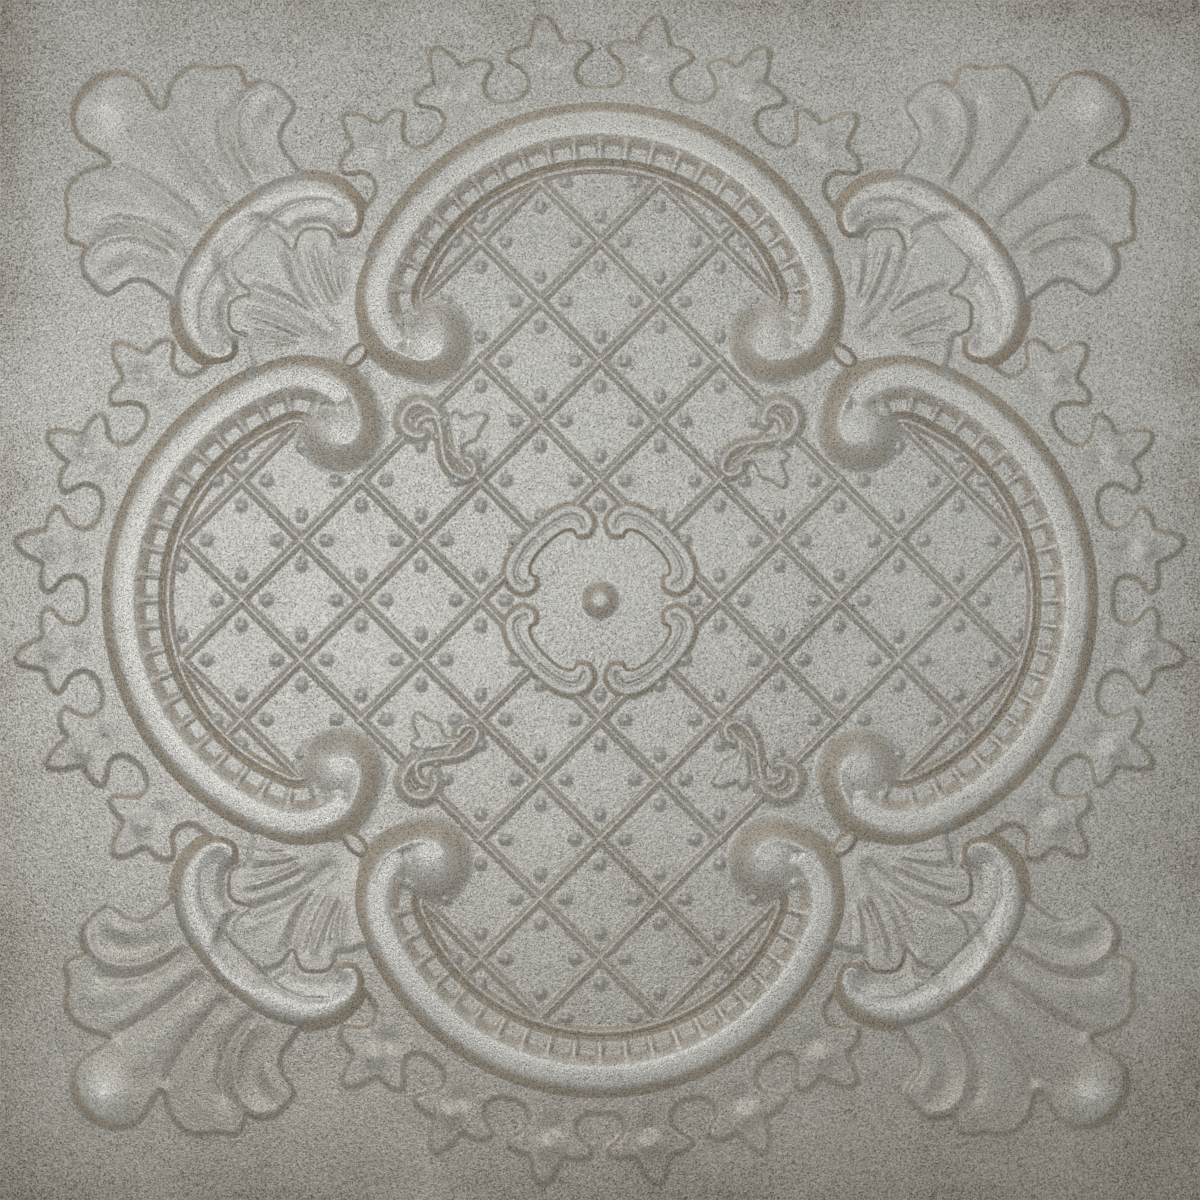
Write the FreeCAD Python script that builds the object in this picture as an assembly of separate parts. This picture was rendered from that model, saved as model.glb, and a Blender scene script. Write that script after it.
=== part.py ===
import FreeCAD, Part
import os
from math import sin, cos, pi, sqrt, atan2, degrees, radians, hypot
from FreeCAD import Vector

os.makedirs("parts", exist_ok=True)

# Overall size of the tile and the sheet it is pressed from (mm)
TILE_SIDE = 609.6
SHEET = 0.3
DIE_CLEAR = 1.0

# Trellis: nodes lie on a square grid turned 45 degrees
NODE_HALF_PITCH = 30.3
RIB_FOOT_HALF = 2.65
RIB_RISE = 1.3

# Each rib: its line's number, then where it starts and ends, in steps between nodes
RIB_STRETCHES = [(0, 1.2, 2.74), (1, 0.62, 3.08), (2, -4.2, 4.2), (3, 0.3, 4.06), (4, 1.25, 3.06)]

# Lobe moulding: long arc, shoulder arc and ball, outer foot line
LOBE_ARC_R = 133.1
LOBE_ARC_Y = 122.4
SHOULDER_R = 48.4
BALL_R = 23.4
BALL_INSET = 21.9
BALL_BEARING = 5.36
BALL_TOP_R = 12.7
BALL_RISE = 9.0

# Lobe moulding section: distance in from the outer foot, rise above the field
CROWN_START = 8.6
CROWN_END = 20.2
CROWN_RISE = 8.0
CUP_START = 26.4
CUP_RISE = 3.3
GROOVE_START = 34.6
GROOVE_RISE = 0.7
BEAD_START = 36.9
BEAD_RISE = 2.0
BEAD_FOOT = 40.4

# Leaf crests outside each lobe: radii from the lobe arc's centre, half widths in degrees
CRESTS_A_SIDE = 6
CREST_PITCH = 18.8
CREST_RISE = 2.2
CREST_FLANK = 3.4
CREST_ROOT_R = 128.0
CREST_ROOT_HALF = 7.6
CREST_BAY_R = 140.4
CREST_WAIST_R = 146.5
CREST_WAIST_HALF = 5.6
CREST_EAR_R = 160.0
CREST_EAR_HALF = 8.6
CREST_NOTCH_R = 165.0
CREST_NOTCH_HALF = 3.7
CREST_TIP_R = 180.5

# Rosette in the middle: centre boss and four curled scrolls
BOSS_FOOT_R = 9.4
BOSS_TOP_R = 4.6
BOSS_RISE = 4.6
ROSE_OUTER_R = 51.6
ROSE_FLANK = 3.6
ROSE_RIDGE_END = 12.8
ROSE_FOOT = 15.6
ROSE_RISE = 2.5
ROSE_GAP_DEG = 12.5
ROSE_END_R = 8.4
ROSE_END_TOP_R = 4.9
ROSE_END_SIDES = 8

# Corner scroll, mirrored about the tile's diagonal
CORNER_ARC_C = 131.1
CORNER_ARC_R = 91.4
CORNER_END_R = 27.7
CORNER_END_BEARING = 74.6
CORNER_FLANK = 6.6
CORNER_CROWN_END = 14.2
CORNER_GROOVE_START = 17.4
CORNER_FOOT = 29.0
CORNER_HOOK_FOOT = 25.6
CORNER_RISE = 6.8
CORNER_GROOVE_RISE = 4.2
CORNER_HOOK_DEG = 200.0

# Corner shell: scallops that spread from a hub on the diagonal, and the round bulb
SHELL_HUB = 167.6
SHELL_RISE = 2.3
SHELL_FLANK = 3.4
SHELL_ROOT_R = 50.0
SHELL_ROOT_BEARING = 66.0
SHELL_NOTCH_R = 96.5
SHELL_BEARINGS = [0.0, 27.4, 46.5]
SHELL_REACHES = [126.0, 110.5, 96.8]
SHELL_HALVES = [11.0, 11.4, 7.0]
SHELL_SHOULDER = 0.98
BULB_CENTRE = 247.9
BULB_R = 19.6
BULB_TOP_R = 13.4
BULB_RISE = 5.2

# Tie that joins two neighbouring lobes
TIE_CENTRE = 124.5
TIE_HALF_LONG = 9.6
TIE_HALF_SHORT = 4.8
TIE_FLANK = 2.0
TIE_RISE = 3.0
TIE_SIDES = 10


# Inward unit normal offset of an open line of (distance, height) points
def parallel(points, gap):
    moved = []
    for i, (u, z) in enumerate(points):
        before = points[max(i - 1, 0)]
        after = points[min(i + 1, len(points) - 1)]
        ins = (u - before[0], z - before[1])
        outs = (after[0] - u, after[1] - z)
        if i == 0:
            ins = (1.0, 0.0)
        if i == len(points) - 1:
            outs = (1.0, 0.0)
        len_in = hypot(*ins)
        len_out = hypot(*outs)
        nx = -ins[1] / len_in - outs[1] / len_out
        nz = ins[0] / len_in + outs[0] / len_out
        scale = 2.0 * gap / (nx * nx + nz * nz)
        moved.append((u - nx * scale, z - nz * scale))
    return moved


# Closed section of the punch side and of the hollow side of one feature
def sections(points):
    top = [(u, z + SHEET) for u, z in points]
    under = parallel(top, SHEET)
    body = top + [(top[-1][0], 0.0), (top[0][0], 0.0)]
    hollow = under + [(under[-1][0], -DIE_CLEAR), (under[0][0], -DIE_CLEAR)]
    return body, hollow


# Face in the vertical plane through an axis at angle, distances counted inward
def radial_face(section, centre, radius, angle):
    direction = Vector(cos(angle), sin(angle), 0)
    corners = [centre + direction * (radius - u) + Vector(0, 0, z) for u, z in section]
    return Part.Face(Part.makePolygon(corners + corners[:1]))


# Moulding turned about a vertical axis from one angle to another (degrees)
def arc_feature(points, centre, radius, start, end):
    out = []
    for section in sections(points):
        face = radial_face(section, centre, radius, radians(start))
        out.append(face.revolve(centre, Vector(0, 0, 1), end - start))
    return out


# Straight rib between two points of the tile
def rib_feature(points, start, end):
    along = end - start
    side = Vector(0, 0, 1).cross(along).normalize()
    out = []
    for section in sections(points):
        corners = [start + side * u + Vector(0, 0, z) for u, z in section]
        out.append(Part.Face(Part.makePolygon(corners + corners[:1])).extrude(along))
    return out


# Round dome from a falling profile of (radius, rise) points, apex last
def dome_feature(profile, centre):
    line = [(-r, z) for r, z in profile]
    line.append((0.0, profile[-1][1]))
    top = [(u, z + SHEET) for u, z in line]
    under = parallel(top, SHEET)
    out = []
    for row, floor in ((top, 0.0), (under, -DIE_CLEAR)):
        row = row[:-1] + [(0.0, row[-1][1])]
        corners = [centre + Vector(u, 0, z) for u, z in row]
        corners.append(centre + Vector(0, 0, floor))
        corners.append(centre + Vector(row[0][0], 0, floor))
        face = Part.Face(Part.makePolygon(corners + corners[:1]))
        out.append(face.revolve(centre, Vector(0, 0, 1), 360))
    return out


# Closed outline moved outwards by gap, its corners kept sharp
def moved_out(outline, gap):
    out = []
    for i, corner in enumerate(outline):
        before = (corner - outline[i - 1]).normalize()
        after = (outline[(i + 1) % len(outline)] - corner).normalize()
        normal = Vector(before.y + after.y, -before.x - after.x, 0)
        out.append(corner + normal * (2.0 * gap / normal.dot(normal)))
    return out


# Solid between two like outlines at two heights
def tapered(low_outline, low, high_outline, high):
    foot = [p + Vector(0, 0, low) for p in low_outline]
    head = [p + Vector(0, 0, high) for p in high_outline]
    count = len(foot)
    faces = [Part.Face(Part.makePolygon(ring + ring[:1])) for ring in (foot, head)]
    for i in range(count):
        j = (i + 1) % count
        faces.append(Part.Face(Part.makePolygon([foot[i], foot[j], head[j], head[i], foot[i]])))
    return Part.makeSolid(Part.makeShell(faces))


# Low plate with a sloping flank inside a counterclockwise foot outline
def plate_feature(outline, flank, rise):
    slope = flank / rise
    back = SHEET * (sqrt(1 + slope * slope) - 1)
    grown = moved_out(outline, slope * SHEET)
    body = tapered(grown, 0, moved_out(outline, -flank), rise + SHEET)
    spread = moved_out(outline, slope * DIE_CLEAR - back)
    hollow = tapered(spread, -DIE_CLEAR, moved_out(outline, -flank - back), rise)
    return [body, hollow]


# Point at a bearing (degrees) and distance from a centre
def polar(centre, bearing_deg, distance):
    a = radians(bearing_deg)
    return centre + Vector(distance * cos(a), distance * sin(a), 0)


# Many-sided outline of an oval
def oval_outline(centre, sides, half_long, half_short, turn):
    out = []
    for i in range(sides):
        a = 2 * pi * i / sides
        local = Vector(half_long * cos(a), half_short * sin(a), 0)
        out.append(local)
    spun = [Vector(p.x * cos(turn) - p.y * sin(turn), p.x * sin(turn) + p.y * cos(turn), 0) for p in out]
    return [centre + p for p in spun]


# Three-pointed leaf outside a lobe, at a bearing from the lobe arc's centre
def leaf_outline(centre, middle):
    half = [
        (CREST_ROOT_HALF, CREST_ROOT_R),
        (CREST_ROOT_HALF, CREST_BAY_R),
        (CREST_WAIST_HALF, CREST_WAIST_R),
        (CREST_EAR_HALF, CREST_EAR_R),
        (CREST_NOTCH_HALF, CREST_NOTCH_R),
    ]
    right = [polar(centre, middle - side, reach) for side, reach in half]
    left = [polar(centre, middle + side, reach) for side, reach in half]
    return right + [polar(centre, middle, CREST_TIP_R)] + left[::-1]


# Scalloped outline of the corner shell, mirrored about the diagonal
def shell_outline(hub):
    right = []
    for middle, reach, half in zip(SHELL_BEARINGS, SHELL_REACHES, SHELL_HALVES):
        if middle > 0:
            right.append((middle - half, SHELL_NOTCH_R * reach / SHELL_REACHES[1]))
            right.append((middle - half * 0.7, reach * SHELL_SHOULDER))
        right.append((middle, reach))
        right.append((middle + half * 0.7, reach * SHELL_SHOULDER))
    right.append((SHELL_BEARINGS[-1] + SHELL_HALVES[-1], SHELL_REACHES[-1] * 0.8))
    right.append((SHELL_ROOT_BEARING, SHELL_ROOT_R))
    low = [polar(hub, 45 - turn, reach) for turn, reach in right[::-1]]
    high = [polar(hub, 45 + turn, reach) for turn, reach in right[1:]]
    return low + high


# Centre of a circle that touches two others from inside and from outside
def touching_centre(c1, d1, c2, d2, side):
    gap = c2 - c1
    dist = gap.Length
    along = (dist * dist + d1 * d1 - d2 * d2) / (2 * dist)
    across = sqrt(d1 * d1 - along * along)
    unit = gap * (1 / dist)
    normal = Vector(-unit.y, unit.x, 0) * side
    return c1 + unit * along + normal * across


# Same pair of shapes mirrored about the vertical plane with this normal
def mirrored(pair, normal):
    return [s.mirror(Vector(0, 0, 0), normal) for s in pair]


# Same pair of shapes turned about the tile's centre
def turned(pair, angle):
    out = []
    for s in pair:
        copy = s.copy()
        copy.rotate(Vector(0, 0, 0), Vector(0, 0, 1), angle)
        out.append(copy)
    return out


def bearing(a, b):
    return degrees(atan2(b.y - a.y, b.x - a.x))


MOULDING = [
    (0.0, 0.0),
    (CROWN_START, CROWN_RISE),
    (CROWN_END, CROWN_RISE),
    (CUP_START, CUP_RISE),
    (GROOVE_START, GROOVE_RISE),
    (BEAD_START, BEAD_RISE),
    (BEAD_FOOT, 0.0),
]
CROWN_ONLY = MOULDING[:4] + [(CUP_START + CUP_RISE, 0.0)]

pairs = []

# Lobe moulding, built for the upper lobe's right half
arc_c = Vector(0, LOBE_ARC_Y, 0)
ball_c = polar(arc_c, BALL_BEARING, LOBE_ARC_R - BALL_R - BALL_INSET)
shoulder_c = touching_centre(arc_c, LOBE_ARC_R - SHOULDER_R, ball_c, SHOULDER_R - BALL_R, 1)
join = bearing(arc_c, shoulder_c)
finish = bearing(shoulder_c, ball_c)
lobe = []
lobe.append(arc_feature(MOULDING, arc_c, LOBE_ARC_R, join, 180 - join))
ball = [(BALL_R, 0.0), (BALL_TOP_R, BALL_RISE)]
half_lobe = [
    arc_feature(MOULDING, shoulder_c, SHOULDER_R, 0, join),
    arc_feature(CROWN_ONLY, shoulder_c, SHOULDER_R, finish, 0),
    dome_feature(ball, ball_c),
]
lobe += half_lobe
lobe += [mirrored(pair, Vector(1, 0, 0)) for pair in half_lobe]

# Leaf crests round the outside of the lobe
for number in range(CRESTS_A_SIDE):
    middle = 90 + CREST_PITCH * (number - (CRESTS_A_SIDE - 1) / 2)
    lobe.append(plate_feature(leaf_outline(arc_c, middle), CREST_FLANK, CREST_RISE))

# Trellis ribs: line number, then the stretch along it in node steps
RIB = [(-RIB_FOOT_HALF, 0), (0, RIB_RISE), (RIB_FOOT_HALF, 0)]


def grid_point(line, step):
    return Vector(NODE_HALF_PITCH * (line - step), NODE_HALF_PITCH * (line + step), 0)

ribs = []
for line, start, end in RIB_STRETCHES:
    ribs.append(rib_feature(RIB, grid_point(line, start), grid_point(line, end)))
    if start > 0 and line > 0:
        ribs.append(rib_feature(RIB, grid_point(line, -end), grid_point(line, -start)))

# Rosette scrolls and boss
ROSE = [
    (0.0, 0.0),
    (ROSE_FLANK, ROSE_RISE),
    (ROSE_RIDGE_END, ROSE_RISE),
    (ROSE_FOOT, 0.0),
]
rose = [arc_feature(ROSE, Vector(0, 0, 0), ROSE_OUTER_R, ROSE_GAP_DEG, 90 - ROSE_GAP_DEG)]
end_reach = ROSE_OUTER_R - ROSE_END_R
for angle in (ROSE_GAP_DEG, 90 - ROSE_GAP_DEG):
    tip = polar(Vector(0, 0, 0), angle, end_reach)
    ring = oval_outline(tip, ROSE_END_SIDES, ROSE_END_R, ROSE_END_R, radians(angle))
    rose.append(plate_feature(ring, ROSE_END_R - ROSE_END_TOP_R, ROSE_RISE))

# Corner scroll in the upper right corner
CORNER = [
    (0.0, 0.0),
    (CORNER_FLANK, CORNER_RISE),
    (CORNER_CROWN_END, CORNER_RISE),
    (CORNER_GROOVE_START, CORNER_GROOVE_RISE),
    (CORNER_FOOT, 0.0),
]
CORNER_TIP = CORNER[:3] + [(CORNER_HOOK_FOOT, 0.0)]
main_c = Vector(CORNER_ARC_C, CORNER_ARC_C, 0)
tip_c = polar(main_c, CORNER_END_BEARING, CORNER_ARC_R - CORNER_END_R)
corner = [arc_feature(CORNER, main_c, CORNER_ARC_R, 90 - CORNER_END_BEARING, CORNER_END_BEARING)]
curl = arc_feature(CORNER_TIP, tip_c, CORNER_END_R, CORNER_END_BEARING, CORNER_HOOK_DEG)
corner += [curl, mirrored(curl, Vector(1, -1, 0))]

# Shell and bulb outside the corner scroll, tie inside it
corner.append(plate_feature(shell_outline(Vector(SHELL_HUB, SHELL_HUB, 0)), SHELL_FLANK, SHELL_RISE))
corner.append(dome_feature([(BULB_R, 0.0), (BULB_TOP_R, BULB_RISE)], Vector(BULB_CENTRE, BULB_CENTRE, 0)))
tie = oval_outline(Vector(TIE_CENTRE, TIE_CENTRE, 0), TIE_SIDES, TIE_HALF_LONG, TIE_HALF_SHORT, -pi / 4)
corner.append(plate_feature(tie, TIE_FLANK, TIE_RISE))

# Four quarter turns of everything, the boss once
for quarter in range(4):
    for pair in lobe + ribs + rose + corner:
        pairs.append(turned(pair, 90 * quarter))
pairs.append(dome_feature([(BOSS_FOOT_R, 0.0), (BOSS_TOP_R, BOSS_RISE)], Vector(0, 0, 0)))

# Press the sheet: add every raised form, then clear every hollow under it
half = TILE_SIDE / 2
blank = Part.makeBox(TILE_SIDE, TILE_SIDE, SHEET, Vector(-half, -half, 0))
raised = blank.multiFuse([p[0] for p in pairs])
hollows = pairs[0][1].multiFuse([p[1] for p in pairs[1:]])
tile = raised.cut(hollows)
tile = tile.removeSplitter()
solids = tile.Solids
print("solids", len(solids), "valid", tile.isValid(), "box", tile.BoundBox, "volume", tile.Volume)
solids.sort(key=lambda s: -s.Volume)
print([round(s.Volume, 1) for s in solids[:6]])
sheet = solids[0]
sheet.exportStep("parts/pressed_sheet.step")
print("faces", len(sheet.Faces))
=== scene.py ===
import bpy
import numpy as np
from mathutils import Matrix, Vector


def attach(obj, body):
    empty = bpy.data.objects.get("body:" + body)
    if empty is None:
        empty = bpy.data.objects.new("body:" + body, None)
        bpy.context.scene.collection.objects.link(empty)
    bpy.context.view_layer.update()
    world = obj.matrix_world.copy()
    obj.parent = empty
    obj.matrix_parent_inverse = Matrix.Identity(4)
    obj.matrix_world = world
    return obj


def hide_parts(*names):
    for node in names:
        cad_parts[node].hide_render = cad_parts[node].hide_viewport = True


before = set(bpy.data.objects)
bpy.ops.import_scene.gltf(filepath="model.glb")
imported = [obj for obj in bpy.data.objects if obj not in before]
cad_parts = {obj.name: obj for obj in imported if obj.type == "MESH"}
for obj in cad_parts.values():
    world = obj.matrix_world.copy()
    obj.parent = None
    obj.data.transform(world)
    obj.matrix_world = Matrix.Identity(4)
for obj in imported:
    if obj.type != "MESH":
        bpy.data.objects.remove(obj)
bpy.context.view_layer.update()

# The blank: a two-foot square of thin tinned steel, before the dies close on it.
# The pattern is drawn at 1200 units to the side; one quarter is drawn, x and y from
# the tile's middle. For each point relief holds how far the die lifts it, and rubbed
# how much of the brown ground its flanks keep: 1 where nothing has worn them bright.
TILE_SIDE = 0.6096
SHEET_THICKNESS = 0.0003
DRAWING_UNITS = 1200.0
UNIT = TILE_SIDE / DRAWING_UNITS
QUARTER = DRAWING_UNITS / 2
CELLS = 1024
STEP = QUARTER / CELLS

ruled = np.linspace(0.0, QUARTER, CELLS + 1)
x, y = np.meshgrid(ruled, ruled, indexing="ij")
relief = np.zeros_like(x)
rubbed = np.ones_like(x)
upper = x <= y + STEP


def ramp(low, high, value):
    """0 below low, 1 above high, eased between."""
    share = np.clip((value - low) / (high - low), 0.0, 1.0)
    return share * share * (3 - 2 * share)


def lift(where, height):
    """Where two forms meet, the higher one is pressed."""
    relief[where] = np.maximum(relief[where], height)


# The trellis: narrow ribs at 45 degrees, pressed as one net with the sheet.
# They fill the four lobes and the square between them, and stop at the rosette.
NODE = 59.7
RIB_RISE = 3.2
RIB_CREST = 1.0
RIB_FOOT = 5.5
FIELD_REACH = 6 * NODE + 7.5
LOBE_ARC_Y = 241.0
LOBE_ARC_R = 262.0
SHOULDER_X = 154.8
SHOULDER_Y = 303.2
SHOULDER_R = 95.2
ROSETTE_R = 103.0
LOBE_WIDE = 70.0
LAST_TURN = np.radians(159.6)


def die(knots, soften):
    """A die's cross-section: distance and height, with its corners rounded."""
    place = np.arange(knots[0][0] - 12, knots[-1][0] + 12, 0.1)
    rise = np.interp(place, *zip(*knots))
    blur = np.hanning(2 * int(soften / 0.1) + 3)
    rise = np.pad(rise, len(blur) // 2, mode="edge")
    return place, np.convolve(rise, blur / blur.sum(), mode="valid")


def hump(rise, crest, foot, soften):
    """The cross-section of a raised line: a flat crest, then a slope down to the foot."""
    return die([(-1, rise), (0, rise), (crest, rise), (foot, 0), (foot + 1, 0)], soften)


def gap_to_lines(across, pitch):
    """Distance from the nearest of a family of parallel lines."""
    return np.abs(across - np.round(across / pitch) * pitch)


# distance in from the moulding's outer foot, along its long arc and its shoulder
meet = np.arctan2(SHOULDER_X, SHOULDER_Y - LOBE_ARC_Y)
arc_turn = np.arctan2(x, y - LOBE_ARC_Y)
shoulder_turn = np.arctan2(x - SHOULDER_X, y - SHOULDER_Y)
on_arc = (arc_turn < meet) & (y > LOBE_ARC_Y)
on_shoulder = ~on_arc & (shoulder_turn >= meet) & (shoulder_turn <= LAST_TURN)
lobe_in = np.full_like(x, -1e3)
lobe_in[on_arc] = (LOBE_ARC_R - np.hypot(x, y - LOBE_ARC_Y))[on_arc]
lobe_in[on_shoulder] = (SHOULDER_R - np.hypot(x - SHOULDER_X, y - SHOULDER_Y))[on_shoulder]

pitch = 2 * NODE / np.sqrt(2)
side = (y - x) / np.sqrt(2)
rib_gap = np.minimum(gap_to_lines((x + y) / np.sqrt(2), pitch), gap_to_lines(side, pitch))
middle = np.hypot(x, y)
trellis = ((x + y < FIELD_REACH) | (lobe_in > LOBE_WIDE)) & (middle > ROSETTE_R - 5) & upper
lift(trellis, np.interp(rib_gap[trellis], *hump(RIB_RISE, RIB_CREST, RIB_FOOT, 0.9)))

# The studs: four small round bosses about each crossing of the trellis, a little
# longer towards the crossing. The rosette and the mouldings cover some in part.
STUD_OFFSET = 24.8
STUD_LONG = 8.4
STUD_WIDE = 7.2
STUD_RISE = 3.7
STUD_RUBBED = 0.55
STUD_REACH = 10.0
STUD_KEEPS_OFF = 76.0

stud = (np.linspace(0, 1, 40), STUD_RISE * np.cos(np.linspace(0, np.pi / 2, 40)) ** 1.4)
for column in range(9):
    for row in range(column % 2, 9, 2):
        for off_x, off_y in ((STUD_OFFSET, 0), (-STUD_OFFSET, 0), (0, STUD_OFFSET), (0, -STUD_OFFSET)):
            cx, cy = column * NODE + off_x, row * NODE + off_y
            if cx > cy + 1 or np.hypot(cx, cy) < ROSETTE_R - 11:
                continue
            in_lobe = cy > LOBE_ARC_Y and cx < SHOULDER_X
            within_arc = np.hypot(cx, cy - LOBE_ARC_Y) < LOBE_ARC_R - STUD_KEEPS_OFF
            if cx + cy > FIELD_REACH - 12 and not (in_lobe and within_arc):
                continue
            near = (np.abs(x - cx) < STUD_REACH) & (np.abs(y - cy) < STUD_REACH)
            half_x, half_y = (STUD_LONG, STUD_WIDE) if off_x else (STUD_WIDE, STUD_LONG)
            out = np.hypot((x[near] - cx) / half_x, (y[near] - cy) / half_y)
            lift(near, np.interp(out, *stud))
            rubbed[near] = np.where(out < 1.2, STUD_RUBBED, rubbed[near])

# The lobe mouldings: a high broad crown, a row of small cups with ridges between,
# a dark step and a thin bead. Each end narrows and curls into a domed head.
CROWN_RISE = 15.7
CUP_PITCH = 25.15
CUP_LINE = 57.0
HEAD_X = 165.0
HEAD_Y = 256.0
HEAD_RISE = 17.3
BALL_X = 173.0
BALL_Y = 260.0
BALL_R = 45.0
CUP_FROM = 41.0
CUP_TO = 66.0
BEAD_FROM = 68.0
MOULDING_WIDE = 82.0

crown_knots = [(0.7, 0), (15, 13.5), (18.2, 15.2), (24, 15.6), (30, CROWN_RISE), (36, 15.4), (38.5, 14.7)]
cup_knots = [(CUP_FROM, 13.2), (49.5, 7.0), (61.8, 6.4), (65.6, 0.8), (LOBE_WIDE, 0.8)]
outside = die(crown_knots + cup_knots, 1.7)
bead = die([(65.0, 0), (69.8, 4.3), (72.4, 4.3), (77, 0)], 0.9)
band = (lobe_in > 0) & (lobe_in < MOULDING_WIDE)
inward = lobe_in[band]
on_long_arc = (LOBE_ARC_R - CUP_LINE) * np.minimum(arc_turn, meet)
past_meet = (LOBE_ARC_R - CUP_LINE) * meet + (SHOULDER_R - CUP_LINE) * (shoulder_turn - meet)
run = np.where(on_shoulder, past_meet, on_long_arc)
from_ridge = gap_to_lines(run[band], CUP_PITCH)
bead_height = np.interp(inward, *bead)
section = np.maximum(np.interp(inward, *outside), bead_height)
section = np.where(inward > BEAD_FROM, bead_height, section)
cup_ridge = np.interp(inward, [CUP_FROM, 47, 55, 62, CUP_TO], [13.4, 11.0, 8.8, 7.4, 2.5])
cup_side = 1 - ramp(0.8, 5.5, from_ridge)
in_row = (inward > CUP_FROM) & (inward < CUP_TO)
section = section + in_row * cup_side * np.maximum(cup_ridge - section, 0)
fades = on_shoulder[band] * ramp(LAST_TURN - 0.45, LAST_TURN - 0.02, shoulder_turn[band])
lift(band, section * (1 - fades))


def bend(points, spacing=1.5):
    """A smooth line through the given points."""
    given = np.array(points, float)
    given = np.vstack([2 * given[0] - given[1], given, 2 * given[-1] - given[-2]])
    line = []
    for before, start, end, after in zip(given[:-3], given[1:-2], given[2:-1], given[3:]):
        count = max(2, int(np.hypot(*(end - start)) / spacing))
        share = np.arange(count)[:, None] / count
        square = 2 * before - 5 * start + 4 * end - after
        cube = 3 * start - before - 3 * end + after
        line.append(0.5 * (2 * start + (end - before) * share + square * share**2 + cube * share**3))
    return np.vstack(line + [given[-2:-1]])


def window(line, reach):
    """The part of the grid that a line can touch."""
    low = np.clip(((line.min(0) - reach) / STEP).astype(int), 0, CELLS)
    high = np.clip(((line.max(0) + reach) / STEP).astype(int) + 2, 1, CELLS + 1)
    return slice(low[0], high[0]), slice(low[1], high[1])


def beside(line, reach, box=None):
    """Distance from a line and length along it, for the grid within reach."""
    box = box or window(line, reach)
    gap = np.full(x[box].shape, 4.0 * reach * reach)
    length = np.zeros(gap.shape)
    gone = 0.0
    for start, end in zip(line[:-1], line[1:]):
        move = end - start
        size = np.hypot(*move)
        if size < 1e-9:
            continue
        near = window(np.array([start, end]), reach)
        low = [max(part.start, full.start) for part, full in zip(near, box)]
        high = [min(part.stop, full.stop) for part, full in zip(near, box)]
        if low[0] >= high[0] or low[1] >= high[1]:
            gone += size
            continue
        near = slice(low[0], high[0]), slice(low[1], high[1])
        cut = tuple(slice(part.start - full.start, part.stop - full.start) for part, full in zip(near, box))
        from_x, from_y = x[near] - start[0], y[near] - start[1]
        share = np.clip((from_x * move[0] + from_y * move[1]) / size**2, 0, 1)
        apart = (from_x - share * move[0]) ** 2 + (from_y - share * move[1]) ** 2
        closer = apart < gap[cut]
        gap[cut] = np.where(closer, apart, gap[cut])
        length[cut] = np.where(closer, gone + share * size, length[cut])
        gone += size
    return box, np.sqrt(gap), length, gone


def along_line(points, rise, crest, foot, soften=1.0, fade=0.0, spacing=1.5):
    """A raised line of the given crest and foot half-widths; also its window."""
    box, gap, length, total = beside(bend(points, spacing), foot + 3)
    height = np.interp(gap, *hump(rise, crest, foot, soften))
    if fade:
        height = height * ramp(0, fade, length) * ramp(0, fade, total - length)
    return box, height


# the head is an oblique cone: its flat top lies off the middle of its foot circle
drift_x, drift_y = BALL_X - HEAD_X, BALL_Y - HEAD_Y
out_x, out_y = x - HEAD_X, y - HEAD_Y
spread = BALL_R**2 - drift_x**2 - drift_y**2
shift = out_x * drift_x + out_y * drift_y
share_out = (np.sqrt(shift * shift + spread * (out_x**2 + out_y**2)) - shift) / spread
on_head = (share_out < 1.05) & upper
head_top = [(-1, HEAD_RISE), (0, HEAD_RISE), (0.2, HEAD_RISE - 0.4)]
head_side = [(0.36, 15.6), (0.55, 11.4), (0.8, 4.8), (0.97, 0), (2, 0)]
head = np.zeros_like(x)
head[on_head] = np.interp(share_out[on_head], *die(head_top + head_side, 0.12))
HEAD_CURL = [
    (150.4, 420.3), (179.3, 391.4), (202.6, 358), (214, 336), (220.5, 320), (224, 303), (225, 288),
    (222, 271), (213.5, 256), (200, 247), (187, 242), (176, 240), (166, 242.5), (158, 249),
    (157, 256),
]
box, curl = along_line(HEAD_CURL, CROWN_RISE + 0.8, crest=2.0, foot=21, soften=7)
_, _, length, _ = beside(bend(HEAD_CURL), 24)
curl = curl * (0.8 + 0.2 * ramp(60, 190, length))
lift(box, curl)
# a little metal is drawn up where the curl runs into the head
lower_one = np.minimum(relief[box], head[box])
joint = np.clip(1 - np.abs(relief[box] - head[box]) / 4.0, 0, 1) ** 2 * ramp(2, 6, lower_one)
relief = np.maximum(relief, head)
relief[box] += joint * upper[box]

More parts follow.
